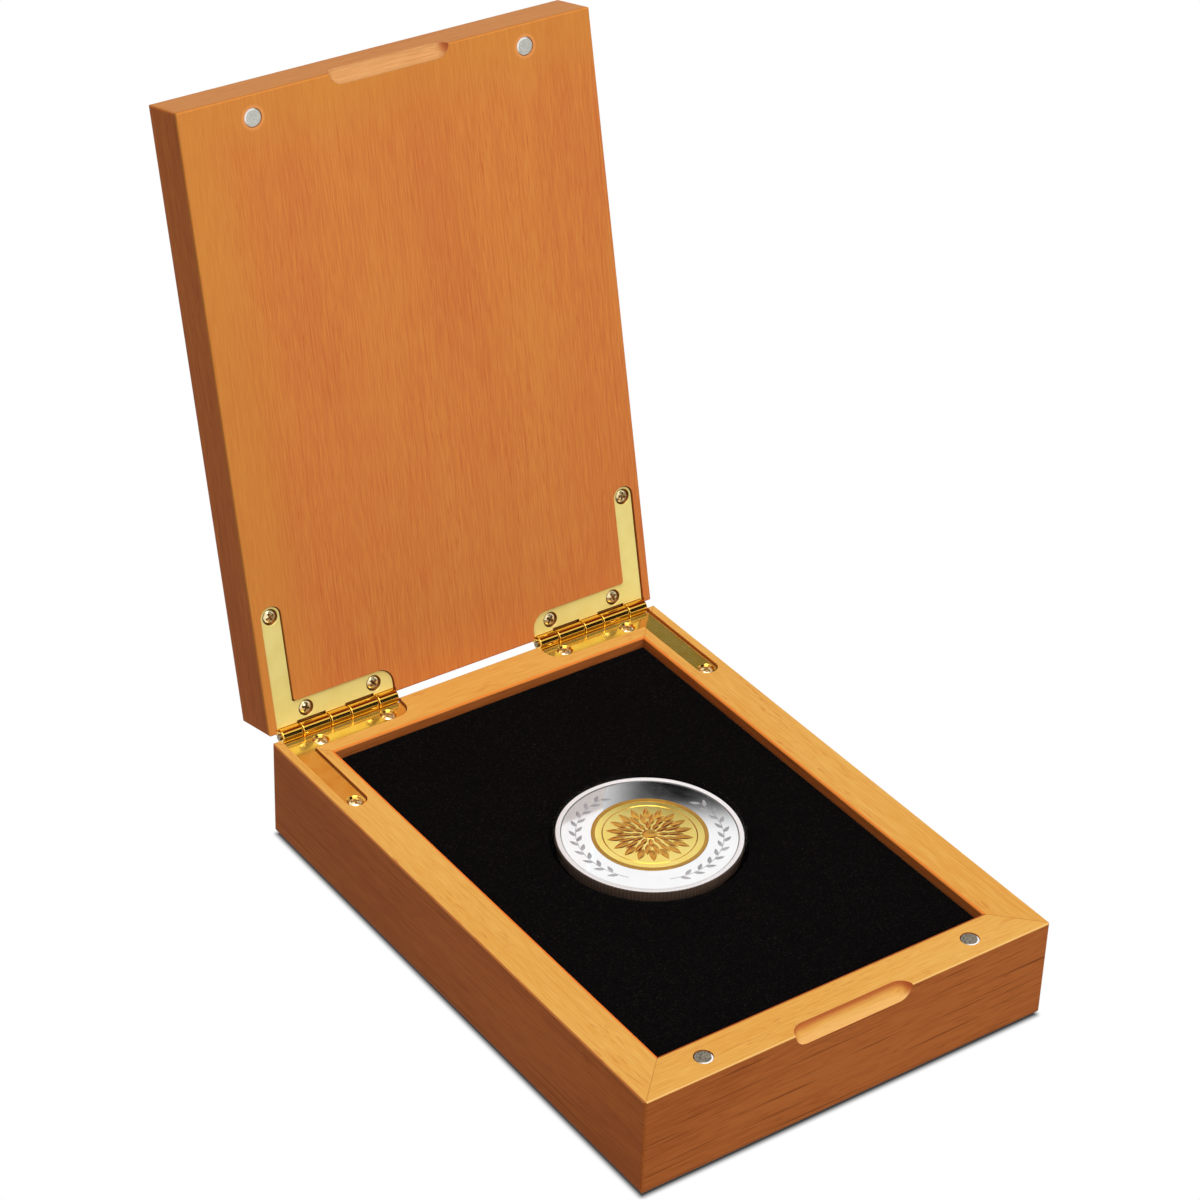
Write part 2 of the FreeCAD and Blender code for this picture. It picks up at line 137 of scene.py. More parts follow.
class Finish:
    """A material in the making. Every node comes from node(), and wear() closes it with its shader."""

    def __init__(self, name):
        self.material = bpy.data.materials.new(name)
        self.material.use_nodes = True
        self.tree = self.material.node_tree
        self.tree.nodes.clear()

    def node(self, kind, settings, sockets, output=0):
        made = self.tree.nodes.new("ShaderNode" + kind)
        for name, setting in settings.items():
            setattr(made, name, setting)
        for key, given in sockets.items():
            if isinstance(given, Value):
                self.tree.links.new(given.socket, made.inputs[key])
            else:
                made.inputs[key].default_value = given
        return Value(self, made.outputs[output]) if made.outputs else None

    def place(self):
        """Where a point lies on the piece, in millimetres."""
        spot = self.node("TexCoord", {}, {}, "Object")
        return self.node("Mapping", {}, {"Vector": spot, "Scale": (1 / mm, 1 / mm, 1 / mm)})

    def turned(self, spot, turn, shift):
        turn = [math.radians(angle) for angle in turn]
        return self.node("Mapping", {}, {"Vector": spot, "Rotation": turn, "Location": shift})

    def noise(self, spot, size, detail=2.0, roughness=0.5):
        """Cloudy values from 0 to 1, whose clouds have this size along each axis."""
        shares = [1 / length for length in size]
        spot = self.node("VectorMath", {"operation": "MULTIPLY"}, {0: spot, 1: shares})
        sockets = {"Vector": spot, "Scale": 1.0, "Detail": detail, "Roughness": roughness}
        return self.node("TexNoise", {}, sockets)

    def grit(self, spot):
        """The fine specks of a plated surface."""
        return self.noise(spot, (0.35, 0.35, 0.35), 3.0, 0.65)

    def step(self, value, low, high, start=0.0, end=1.0):
        """A smooth step of value, from start at low to end at high."""
        sockets = {"Value": value, "From Min": low, "From Max": high, "To Min": start, "To Max": end}
        return self.node("MapRange", {"interpolation_type": "SMOOTHSTEP"}, sockets)

    def mix(self, share, first, second):
        return self.node("Mix", {"data_type": "RGBA"}, {0: share, 6: first, 7: second}, 2)

    def bump(self, height, distance, strength=1.0):
        return self.node("Bump", {}, {"Height": height, "Distance": distance * mm, "Strength": strength})

    def axis(self, spot, name):
        return self.node("SeparateXYZ", {}, {0: spot}, name)

    def normal(self):
        """The way that the surface faces."""
        return self.node("TexCoord", {}, {}, "Normal")

    def dot(self, first, second):
        return self.node("VectorMath", {"operation": "DOT_PRODUCT"}, {0: first, 1: second}, "Value")

    def close(self, shader):
        self.node("OutputMaterial", {}, {"Surface": shader})
        return self.material

    def wear(self, **sockets):
        """Closes the finish with one Principled shader; a socket's name has _ for its spaces."""
        named = {name.replace("_", " "): given for name, given in sockets.items()}
        return self.close(self.node("BsdfPrincipled", {}, named))


def from_pin(finish, place, face, tilt):
    """How far a point lies from the hinge pin along a leaf that is tilted this much, and how far behind the
    leaf's face."""
    ahead = finish.axis(place, "Y") - pin_y
    above = finish.axis(place, "Z") - pin_z
    level, steep = math.cos(math.radians(tilt)), math.sin(math.radians(tilt))
    return ahead * level + above * steep, ahead * steep - above * level - face


def cove_shape(finish, aside, ahead, below):
    """1 inside the finger cove, and 1 at its two ends. A point is this far from the middle of the case, from
    the cutter's path along the face, and below the face."""
    past_end = (aside - cove_half).at_least(0.0)
    from_cutter = (past_end ** 2 + ahead ** 2 + below ** 2) ** 0.5
    inside = finish.step(from_cutter, cove_radius + 0.1, cove_radius + 0.04)
    return inside, inside * finish.step(past_end, 1.6, 2.9)


def lid_wear(finish, place, colour, cove_tone_and_polish_lines, sheet):
    """Adds the paler finger cove, with painted shade at its ends, to a piece of the lid. A sheet also has a
    painted shade on its edge, a yellower border on two sides and a paler orange ring round each magnet."""
    aside = abs(finish.axis(place, "X"))
    along, depth = from_pin(finish, place, lid_face, lid_tilt)
    if sheet:
        # Painted shade: where the surface turns away from the lid's face, on the sheet's edge, it is darker.
        facing = abs(finish.dot(finish.normal(), lid_normal))
        colour = finish.mix(finish.step(facing, 0.5, 0.9), tone(168, 86, 40), colour)
        from_edge = (finish.axis(place, "X") + case_half[0]).at_most(pin_y + case_half[1] - along)
        colour = finish.mix(finish.step(from_edge, 20, 1, 0.0, 0.4), colour, tone(212, 146, 60))
        # A paler orange ring round each magnet, on the face only.
        from_magnet = ((aside - lid_magnet[0]) ** 2 + (along - lid_magnet[1]) ** 2) ** 0.5
        near = finish.step(from_magnet, magnet_radius + 0.9, magnet_radius + 0.3)
        ring = near * finish.step(abs(depth), 0.4, 0.2)
        colour = finish.mix(ring * 0.6, colour, tone(236, 158, 92))
    # The paler tone inside the cove, and a painted shade at its two ends.
    cove, ends = cove_shape(finish, aside, along - (pin_y + cove_path), depth)
    return finish.mix(ends * 0.8, finish.mix(cove, colour, cove_tone_and_polish_lines), tone(176, 84, 44))


def rail_top(finish, place, colour, pale, top):
    """Lays the pale upper face of a base rail over its colour, with its mitre lines, a painted highlight on
    its outer arris (a painted shade on the left rail's), painted shade on its arris beside the tray, and its
    finger cove with painted light and shade."""
    across, along = finish.axis(place, "X"), finish.axis(place, "Y")
    up = finish.axis(finish.normal(), "Z")
    from_side = case_half[0] - abs(across)
    from_end = case_half[1] - abs(along)
    joint = finish.step(abs(from_side - from_end), 0.04, 0.22, 0.6, 0.0)
    # Where the surface faces up it takes the paler tones of the upper face.
    colour = finish.mix(finish.step(up, 0.05, 0.5), colour, finish.mix(joint, pale, top["mitre"]))
    # Painted highlight and shade on the arrises: the outer arris paler, darker on the left rail, and the
    # arris beside the tray darker.
    inwards = from_side.at_most(from_end)
    near_edge = finish.step(abs(inwards - rail_width / 2), rail_width / 2 - 0.7, rail_width / 2 - 0.4)
    arris = finish.step(up, 0.25, 0.6) * finish.step(up, 0.97, 0.85) * near_edge
    edge = finish.mix(finish.step(inwards, 4.0, 5.0), top["outer"], top["inner"])
    colour = finish.mix(arris * 0.7, colour, edge)
    # Painted shade where the rail's arris meets the tray.
    tray_edge_shade = finish.step(inwards, rail_width - 0.75, rail_width - 0.35) * finish.step(up, 0.3, 0.6)
    colour = finish.mix(tray_edge_shade * 0.8, colour, top["inner"])
    below = base_top - finish.axis(place, "Z")
    cove, ends = cove_shape(finish, abs(across), along + cove_path, below)
    # Painted light on the cove's floor where it faces up, painted shade on its steeper walls and at its two
    # ends.
    colour = finish.mix(cove * finish.step(up, 0.55, 0.9, 0.0, 0.5), colour, tone(226, 176, 112))
    colour = finish.mix(cove * finish.step(up, 0.7, 0.2, 0.0, 0.6), colour, tone(206, 112, 60))
    return finish.mix(ends * 0.7, colour, tone(186, 92, 48))


def honey_wood(name, turn, shift, tones, lines, top=None, lid=None):
    """Honey-stained wood under satin lacquer. The grain runs along X once the piece is turned. lines is how
    strongly the long dark pores show. top has the tones of a base rail's paler upper face. lid is "rail" or
    "sheet" for a piece of the lid's inner side. A sheet's figure is more even."""
    finish = Finish(name)
    light, deep, pore = tones
    place = finish.place()
    spot = finish.turned(place, turn, shift)
    cloud, contrast = (0.24, 0.19) if lid == "sheet" else (0.32, 0.14)
    drift = finish.noise(spot, (80, 20, 20), 1.0)
    band = finish.noise(spot, (45, 2.2, 2.2), 2.0)
    fibre = finish.noise(spot, (6, 0.3, 0.3), 2.0)
    mixed = drift * cloud + band * 0.18 + fibre * (0.82 - cloud)
    figure = finish.step(mixed, 0.5 - contrast, 0.5 + contrast)
    cluster = finish.step(finish.noise(spot, (26, 5, 5), 1.0), 0.42, 0.62)
    flecks = finish.step(finish.noise(spot, (4.2, 0.3, 0.3), 1.0), 0.60, 0.76) * cluster
    streak = finish.step(finish.noise(spot, (34, 0.55, 0.55), 1.5), 0.61, 0.74)
    dark = (flecks * 0.45).at_least(streak * lines)
    colour = finish.mix(dark, finish.mix(figure, deep, light), pore)
    if top:
        pale = finish.mix(dark * 0.5, finish.mix(figure, top["deep"], top["light"]), top["pore"])
        dashes = finish.step(finish.noise(spot, (3.4, 0.4, 0.4), 1.0), 0.6, 0.72) * cluster
        pale = finish.mix(dashes * 0.6, pale, top["pore"])
        colour = rail_top(finish, place, colour, pale, top)
    if lid:
        # The paler tone inside the finger cove.
        cove_tone_and_polish_lines = finish.mix(figure, tone(196, 136, 80), tone(214, 158, 102))
        colour = lid_wear(finish, place, colour, cove_tone_and_polish_lines, lid == "sheet")
    gloss = 0.34 + fibre * 0.12 + dark * 0.15
    relief = finish.bump(fibre * 0.5 - dark, 0.03, 0.3)
    return finish.wear(Base_Color=colour, Roughness=gloss, Normal=relief, IOR=1.08)


lid_side_tones = (tone(193, 110, 50), tone(172, 90, 40), tone(116, 56, 28))
side_tones = (tone(184, 106, 52), tone(164, 88, 40), tone(110, 54, 26))
end_tones = (tone(181, 101, 46), tone(161, 83, 36), tone(108, 50, 24))
edge_tones = (tone(198, 132, 66), tone(186, 112, 54), tone(160, 84, 42))
face_tones = (tone(218, 138, 68), tone(206, 114, 60), tone(190, 76, 42))
upper_tones = {
    "light": tone(222, 170, 88),
    "deep": tone(213, 151, 68),
    "pore": tone(190, 112, 52),
    "mitre": tone(176, 110, 56),
}
# outer and inner are painted highlight and shade on the rails' arrises: pale outer arrises, a darker left
# outer arris, darker arrises beside the tray.
front_top = {**upper_tones, "outer": tone(238, 192, 122), "inner": tone(140, 36, 14)}
back_top = {**upper_tones, "outer": tone(238, 192, 122), "inner": tone(226, 126, 50)}
left_top = {**upper_tones, "outer": tone(172, 68, 46), "inner": tone(222, 100, 28)}

along_x, along_y = (0, 0, 0), (0, 0, -90)
lid_along_x, lid_along_y = (lid_open, 0, 0), (lid_open, 0, -91)

wood = {
    "base_front_rail": honey_wood("honey_front", along_x, (0, 0, 0), side_tones, 0.8, front_top),
    "base_back_rail": honey_wood("honey_back", along_x, (310, 40, 15), side_tones, 0.4, back_top),
    "base_left_rail": honey_wood("honey_left", along_y, (90, 75, 33), end_tones, 0.4, left_top),
    "base_right_rail": honey_wood("honey_right", along_y, (560, 18, 71), side_tones, 0.4, back_top),
    "base_bottom_panel": honey_wood("honey_panel", along_y, (820, 60, 9), side_tones, 0.4),
    "lid_front_rail": honey_wood("honey_lid_front", lid_along_x, (140, 12, 55), edge_tones, 0.3, lid="rail"),
    "lid_back_rail": honey_wood("honey_lid_back", lid_along_x, (440, 92, 5), edge_tones, 0.3),
    "lid_left_rail": honey_wood("honey_lid_left", lid_along_y, (640, 33, 81), lid_side_tones, 0.3),
    "lid_right_rail": honey_wood("honey_lid_right", lid_along_y, (240, 57, 21), end_tones, 0.3),
    "lid_inner_veneer": honey_wood("honey_face", lid_along_y, (0, 14, 0), face_tones, 0.3, lid="sheet"),
    "lid_outer_veneer": honey_wood("honey_top", lid_along_y, (700, 20, 8), face_tones, 0.15),
}


def fibreboard():
    """Raw board of short pressed chips."""
    finish = Finish("fibreboard")
    spot = finish.place()
    chips = finish.noise(spot, (0.9, 0.5, 0.35), 3.0, 0.7)
    colour = finish.mix(finish.step(chips, 0.35, 0.65), tone(120, 92, 60), tone(168, 134, 92))
    return finish.wear(Base_Color=colour, Roughness=0.7 + chips * 0.2, Normal=finish.bump(chips, 0.1))


def velvet_cloth():
    """Short black pile: a dull ground with a lighter tip here and there."""
    finish = Finish("black_velvet")
    spot = finish.place()
    pile = finish.noise(spot, (0.28, 0.28, 0.28), 2.0, 0.7)
    lie = finish.noise(spot, (16, 22, 16), 2.0)
    tips = finish.step(pile, 0.54, 0.8) * (0.5 + lie * 0.7)
    colour = finish.mix(tips, tone(8, 7, 7), tone(46, 41, 39))
    return finish.wear(
        Base_Color=colour, Roughness=0.85 + pile * 0.1, Normal=finish.bump(pile, 0.12, 0.6),
        Specular_IOR_Level=0.0, Sheen_Weight=0.01, Sheen_Roughness=0.5,
    )


def hinge_brass(name, light, deep, edge, plate_gloss, plate_metal, face, tilt):
    """Polished brass. The rolled barrel is a mirror; the plate is duller, with the fine lines of its
    polishing. Its edges and countersinks carry a darker painted shade. They lie behind its face, which is
    this far from the pin and has this tilt."""
    finish = Finish(name)
    spot = finish.place()
    along, depth = from_pin(finish, spot, face, tilt)
    from_axis = (along ** 2 + (depth + face) ** 2) ** 0.5
    plate = finish.step(from_axis, barrel_radius + 0.05, barrel_radius + 0.2)
    # Painted shade: what lies behind the face takes the darker edge tone.
    sunk = finish.step(depth, 0.03, 0.12) * plate
    cove_tone_and_polish_lines = finish.noise(spot, (0.12, 6, 6), 2.0)
    smear = finish.noise(spot, (4, 4, 4), 2.0)
    colour = finish.mix(finish.step(smear, 0.3, 0.7), deep, light)
    colour = finish.mix(plate, tone(240, 188, 80), colour)
    colour = finish.mix(sunk, colour, edge)
    gloss = 0.06 + smear * 0.04 + plate * plate_gloss * (0.8 + cove_tone_and_polish_lines * 0.4)
    metal = 1 - (plate - sunk) * (1 - plate_metal)
    relief = finish.bump(cove_tone_and_polish_lines * plate, 0.004, 0.3)
    return finish.wear(Base_Color=colour, Metallic=metal, Roughness=gloss, Normal=relief)


def pin_metal():
    """Plain steel with a little grit in its shine."""
    finish = Finish("pin_steel")
    speck = finish.grit(finish.place())
    colour = finish.mix(finish.step(speck, 0.3, 0.7), tone(110, 96, 76), tone(150, 136, 110))
    gloss = 0.3 + speck * 0.1
    relief = finish.bump(speck, 0.01, 0.1)
    return finish.wear(Base_Color=colour, Metallic=1.0, Roughness=gloss, Normal=relief)


def screw_plate(name, light, deep, slot, face, tilt):
    """Bright plate on the domed heads of one leaf's screws, with painted shade in the cross slots and under
    the rim.
    """
    finish = Finish(name)
    spot = finish.place()
    speck = finish.grit(spot)
    depth = from_pin(finish, spot, face, tilt)[1]
    # Painted shade below the head's top, in the slots and under the rim.
    sunk = finish.step(depth, 0.28, 0.5)
    colour = finish.mix(finish.step(speck, 0.3, 0.7), deep, light)
    colour = finish.mix(sunk, colour, slot)
    gloss = 0.12 + speck * 0.12
    relief = finish.bump(speck, 0.01, 0.12)
    return finish.wear(Base_Color=colour, Metallic=0.75, Roughness=gloss, Normal=relief)


def magnet_nickel(node, axis, glint_side, light, deep, metal):
    """The nickel of one round magnet: a gritty face, and a painted highlight on one side of its rim."""
    finish = Finish(node + "_nickel")
    spot = finish.place()
    speck = finish.grit(spot)
    corners = [Vector(corner) / mm for corner in nodes[node].bound_box]
    middle = sum(corners, Vector()) / len(corners)
    off = finish.node("VectorMath", {"operation": "SUBTRACT"}, {0: spot, 1: middle})
    reach, rise, side = (finish.dot(off, given) for given in (off, axis, glint_side))
    out = (reach - rise * rise) ** 0.5
    # Painted highlight: on one side the rim turns near white and loses its metal.
    rim = finish.step(out, magnet_radius - 0.5, magnet_radius - 0.35) * finish.step(side, 0.2, 1.2)
    colour = finish.mix(rim, finish.mix(finish.step(speck, 0.3, 0.7), deep, light), tone(252, 252, 250))
    gloss = 0.25 + speck * 0.3
    relief = finish.bump(speck, 0.01, 0.3)
    return finish.wear(Base_Color=colour, Metallic=metal - rim * metal, Roughness=gloss, Normal=relief)


def coin_metal(name, light, deep, gloss, shine, zones=()):
    """Struck metal, polished the least bit uneven. zones are the radii where a rim or a milled edge starts,
    each with its tone and how much duller it is than what lies inside it."""
    finish = Finish(name)
    spot = finish.place()
    flow = finish.noise(spot, (5, 5, 5), 2.0)
    colour = finish.mix(finish.step(flow, 0.25, 0.75), deep, light)
    across, along = finish.axis(spot, "X"), finish.axis(spot, "Y")
    out = (across * across + along * along) ** 0.5
    for radius, tint, dull in zones:
        here = finish.step(out, radius - 0.04, radius + 0.04)
        colour = finish.mix(here, colour, tint)
        gloss = gloss + here * dull
        shine = shine - here * dull
    return finish.wear(Base_Color=colour, Metallic=shine, Roughness=flow * 0.05 + gloss)


def clear_acrylic():
    """Clear polished plastic that only shows where it mirrors the room or is seen edge on."""
    finish = Finish("clear_acrylic")
    spot = finish.place()
    haze = finish.noise(spot, (6, 6, 6), 2.0)
    edge_on = finish.node("LayerWeight", {}, {}, "Facing")
    glance = 0.005 + 0.15 * edge_on ** 6
    thin = finish.node("BsdfTransparent", {}, {"Color": (1, 1, 1, 1)})
    thick = finish.node("BsdfTransparent", {}, {"Color": tone(104, 120, 128)})
    clear = finish.node("MixShader", {}, {0: edge_on ** 5, 1: thin, 2: thick})
    shine = finish.node("BsdfGlossy", {}, {"Color": tone(255, 246, 236), "Roughness": 0.02 + haze * 0.02})
    return finish.close(finish.node("MixShader", {}, {0: glance, 1: clear, 2: shine}))


velvet_black = velvet_cloth()
board = fibreboard()
# One brass in two copies: the lid leaf's plate is paler, rougher and mostly not metallic, a painted
# reflection of the bright room, and its edges take a much darker painted shade than the base leaf's.
base_tones = (tone(252, 220, 110), tone(246, 202, 86), tone(190, 134, 54))
lid_tones = (tone(246, 229, 142), tone(242, 223, 132), tone(104, 58, 22))
base_brass = hinge_brass("brass_base_leaf", *base_tones, 0.05, 0.78, base_leaf_face, 0)
lid_brass = hinge_brass("brass_lid_leaf", *lid_tones, 0.36, 0.2, lid_leaf_face, lid_tilt)
head_tones = (tone(255, 242, 200), tone(242, 216, 150))
# The lid's screws take a darker painted shade in their slots than the base's.
base_screws = screw_plate("base_screw_plate", *head_tones, tone(196, 158, 92), base_leaf_face, 0)
lid_screws = screw_plate("lid_screw_plate", *head_tones, tone(136, 96, 50), lid_leaf_face, lid_tilt)
pin_steel = pin_metal()
# Zones of the silver ring: a thin painted shade line at the step from field to rim, the white rim, and a
# brown painted reflection on the reeded edge.
silver_zones = (
    (coin_radius - coin_rim - 0.2, tone(120, 118, 116), 0.3),
    (coin_radius - coin_rim, tone(250, 250, 251), 0.1),
    (coin_radius - 0.12, tone(112, 88, 72), 0.1),
)
gold_zones = ((core_radius - core_rim - 0.05, tone(190, 146, 58), 0.3),)
silver = coin_metal("coin_silver", tone(254, 254, 254), tone(250, 250, 251), 0.025, 1.0, silver_zones)
silver_frost = coin_metal("coin_silver_frost", tone(176, 176, 180), tone(154, 154, 158), 0.45, 0.3)
gold = coin_metal("coin_gold", tone(255, 230, 136), tone(250, 220, 114), 0.08, 1.0, gold_zones)
gold_frost = coin_metal("coin_gold_frost", tone(232, 178, 76), tone(206, 144, 52), 0.16, 1.0)
acrylic = clear_acrylic()


def dress(node, material):
    """Gives a piece of the frame its finish."""
    mesh = nodes[node].data
    mesh.materials.clear()
    mesh.materials.append(material)


for node, material in wood.items():
    dress(node, material)
for node in ("insert_block", "lid_core_board"):
    dress(node, board)
for node in ("capsule_base", "capsule_cover"):
    dress(node, acrylic)
# One nickel in two copies: the lid's magnets are painted paler and less metallic than the base's, a painted
# stand-in for the light each catches.
base_nickel = (tone(172, 168, 152), tone(92, 88, 76), 0.9)
lid_nickel = (tone(214, 214, 206), tone(188, 188, 180), 0.4)
for side in ("left", "right"):
    base, lid = "base_magnet_" + side, "lid_magnet_" + side
    dress(base, magnet_nickel(base, (0, 0, 1), (0.3, -0.95, 0), *base_nickel))
    dress(lid, magnet_nickel(lid, lid_normal, (-0.7, 0.2, 0.7), *lid_nickel))
    dress("hinge_" + side + "_base_leaf", base_brass)
    dress("hinge_" + side + "_lid_leaf", lid_brass)
    dress("hinge_" + side + "_pin", pin_steel)
    dress("hinge_" + side + "_base_screws", base_screws)
    dress("hinge_" + side + "_lid_screws", lid_screws)


# Pieces


def piece(name, mesh, body, material, stands_for=(), sharp=30):
    """Makes a finished object of a mesh drawn in millimetres, riding on a body of the frame."""
    bmesh.ops.remove_doubles(mesh, verts=mesh.verts, dist=0.0005)
    bmesh.ops.recalc_face_normals(mesh, faces=mesh.faces)
    bmesh.ops.scale(mesh, vec=(mm, mm, mm), verts=mesh.verts)
    data = bpy.data.meshes.new(name)
    mesh.to_mesh(data)
    mesh.free()
    data.shade_smooth()
    data.set_sharp_from_angle(angle=math.radians(sharp))
    data.materials.append(material)
    made = bpy.data.objects.new(name, data)
    bpy.context.scene.collection.objects.link(made)
    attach(made, body)
    if stands_for:
        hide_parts(*stands_for)
    return made


def spun(mesh, section, steps, closed):
    """Turns a section of (radius, height) points once round the upright axis."""
    verts = [mesh.verts.new((radius, 0, height)) for radius, height in section]
    edges = [mesh.edges.new(pair) for pair in zip(verts, verts[1:])]
    if closed:
        edges.append(mesh.edges.new((verts[-1], verts[0])))
    centre, upright = (0, 0, 0), (0, 0, 1)
    bmesh.ops.spin(
        mesh, geom=verts + edges, cent=centre, axis=upright, angle=math.tau, steps=steps, use_merge=True
    )


def bearing(vert):
    return math.atan2(vert.co.y, vert.co.x) % math.tau


def alternate(mesh, radius, height, steps):
    """Every second vertex on one level circle."""
    return [
        vert for vert in mesh.verts
        if abs(math.hypot(vert.co.x, vert.co.y) - radius) < 0.001 and abs(vert.co.z - height) < 0.001
        and round(bearing(vert) / math.tau * steps) % 2
    ]


def velvet_sheet():
    """One cloth: pressed into the pocket, level over the block, and tucked down inside the rails."""
    mesh = bmesh.new()
    top, floor = velvet_top, velvet_floor
    section = [
        (0, floor),
        (pocket_radius - pocket_foot, floor),
        (pocket_radius - pocket_foot_middle, floor + pocket_foot_middle),
        (pocket_radius, floor + pocket_foot),
        (pocket_radius, top - velvet_round),
        (pocket_radius + velvet_round_middle, top - velvet_round_middle),
        (pocket_radius + velvet_round, top),
        (pocket_radius + pocket_level, top),
    ]
    spun(mesh, section, 96, False)
    bmesh.ops.remove_doubles(mesh, verts=mesh.verts, dist=0.0005)
    loop = [edge for edge in mesh.edges if edge.is_boundary]
    corner = math.atan2(velvet_half[1], velvet_half[0])
    turn_down = (
        (velvet_border, top),
        (velvet_round, top),
        (velvet_round_middle, top - velvet_round_middle),
        (0, top - velvet_round),
        (0, top - velvet_tuck),
    )
    for inset, height in turn_down:
        half_x, half_y = velvet_half[0] - inset, velvet_half[1] - inset
        grown = bmesh.ops.extrude_edge_only(mesh, edges=loop)["geom"]
        loop = [item for item in grown if isinstance(item, bmesh.types.BMEdge)]
        rim = [item for item in grown if isinstance(item, bmesh.types.BMVert)]
        for vert in rim:
            reach = min(half_x / max(abs(vert.co.x), 1e-6), half_y / max(abs(vert.co.y), 1e-6))
            vert.co = (vert.co.x * reach, vert.co.y * reach, height)
        for turn in (corner, math.pi - corner, math.pi + corner, math.tau - corner):
            nearest = min(rim, key=lambda vert: abs(bearing(vert) - turn))
            nearest.co = (math.copysign(half_x, nearest.co.x), math.copysign(half_y, nearest.co.y), height)
    cloth = piece("tray_velvet", mesh, "base", velvet_black, ["insert_velvet"], 60)


def silver_ring():
    """The coin's outer ring: level field, raised rim and a reeded edge."""
    mesh = bmesh.new()
    low, high, rim = coin_low, coin_high, coin_radius - coin_rim
    section = [
        (core_radius, low + coin_relief),
        (rim - rim_slope, low + coin_relief),
        (rim, low),
        (coin_radius - coin_edge_round, low),
        (coin_radius, low + coin_edge_round),
        (coin_radius, high - coin_edge_round),
        (coin_radius - coin_edge_round, high),
        (rim + rim_bead, high),
        (rim - rim_bead, high - rim_bead),
        (rim - rim_slope, field),
        (core_radius, field),
    ]
    spun(mesh, section, 2 * reeds, True)
    for height in (low + coin_edge_round, high - coin_edge_round):
        for vert in alternate(mesh, coin_radius, height, 2 * reeds):
            vert.co.xy *= 1 - reed_depth / coin_radius
    piece("coin_silver_ring", mesh, "coin", silver, ["coin_ring"])


def gold_core():
    """The coin's middle: a level field and a milled border."""
    mesh = bmesh.new()
    low, high, edge = coin_low, coin_high, core_radius - core_gap
    border = edge - core_rim
    section = [
        (0, low + coin_relief),
        (border, low + coin_relief),
        (border, low),
        (edge, low),
        (edge, high - mill_chamfer),
        (edge - mill_chamfer, high),
        (border + mill_chamfer, high),
        (border, field),
        (0, field),
    ]
    spun(mesh, section, mills, False)
    for radius in (edge - mill_chamfer, border + mill_chamfer):
        for vert in alternate(mesh, radius, high, mills):
            vert.co.z -= mill_depth
    piece("coin_gold_core", mesh, "coin", gold, ["coin_core"])


def petal(mesh, length, width, height, radius, turn, lean=0.0):
    """A pointed petal with a raised midrib. It starts at this radius on the coin and points outwards, or
    leans from there."""
    verts = bmesh.ops.create_grid(mesh, x_segments=8, y_segments=4, size=1.0)["verts"]
    for vert in verts:
        along = (vert.co.x + 1) / 2
        swell = math.sin(math.pi * along ** 0.8)
        ridge = 0.35 + 0.65 * (1 - abs(vert.co.y))
        rise = height * swell * ridge if abs(vert.co.y) < 0.9 else 0
        vert.co = (along * length, vert.co.y * swell * width / 2, rise)
    turned, leaning = (Matrix.Rotation(math.radians(angle), 4, "Z") for angle in (turn, lean))
    outwards = Matrix.Translation((radius, 0, field - relief_set_in))
    bmesh.ops.transform(mesh, matrix=turned @ outwards @ leaning, verts=verts)


def rosette():
    """Relief on the gold core: three rings of petals round a boss, inside a fine circle."""
    mesh = bmesh.new()
    rings = (
        (18, 5.1, 4.3, 1.85, 0.13, 0.0),
        (18, 3.2, 4.2, 1.35, 0.15, 10.0),
        (12, 1.5, 3.2, 1.2, 0.17, 0.0),
    )
    for count, radius, length, width, height, start in rings:
        for index in range(count):
            petal(mesh, length, width, height, radius, start + index * 360 / count)
    ridge = [
        (fine_circle - fine_circle_half, field - relief_set_in),
        (fine_circle, field + fine_circle_rise),
        (fine_circle + fine_circle_half, field - relief_set_in),
    ]
    spun(mesh, ridge, 144, False)
    boss = bmesh.ops.create_uvsphere(mesh, u_segments=24, v_segments=12, radius=1.0)["verts"]
    bmesh.ops.scale(mesh, vec=(boss_radius, boss_radius, boss_rise), verts=boss)
    bmesh.ops.translate(mesh, vec=(0, 0, field), verts=boss)
    piece("coin_rosette", mesh, "coin", gold_frost)


def sprays():
    """Relief on the silver ring: two leafy sprays that curve up from the near side."""
    mesh = bmesh.new()
    for way, start in ((1, 250.0), (-1, 218.0)):
        section = ((-stem_half, -relief_set_in), (0, stem_rise), (stem_half, -relief_set_in))
        stem = [mesh.verts.new((stem_radius + out, 0, field + up)) for out, up in section]
        line = [mesh.edges.new(pair) for pair in zip(stem, stem[1:])]
        turned = Matrix.Rotation(math.radians(start), 3, "Z")
        bmesh.ops.rotate(mesh, cent=(0, 0, 0), matrix=turned, verts=stem)
        sweep = way * math.radians(stem_sweep)
        bmesh.ops.spin(mesh, geom=stem + line, cent=(0, 0, 0), axis=(0, 0, 1), angle=sweep, steps=48)
        for index in range(spray_leaves):
            turn = start + way * (spray_leaf_start + index * spray_leaf_step)
            petal(mesh, *spray_leaf, stem_radius + 0.1, turn, way * 58)
            petal(mesh, *spray_leaf, stem_radius - 0.1, turn + way * 5, way * 122)
    piece("coin_sprays", mesh, "coin", silver_frost)


velvet_sheet()
silver_ring()
gold_core()
rosette()
sprays()


# Studio

foot_inset = 0.75
camera_place = (-359.299, -473.337, 471.580)
camera_swing, camera_dip, camera_roll = -36.039, 33.348, 2.053
camera_lens, camera_sensor = 107.59, 36


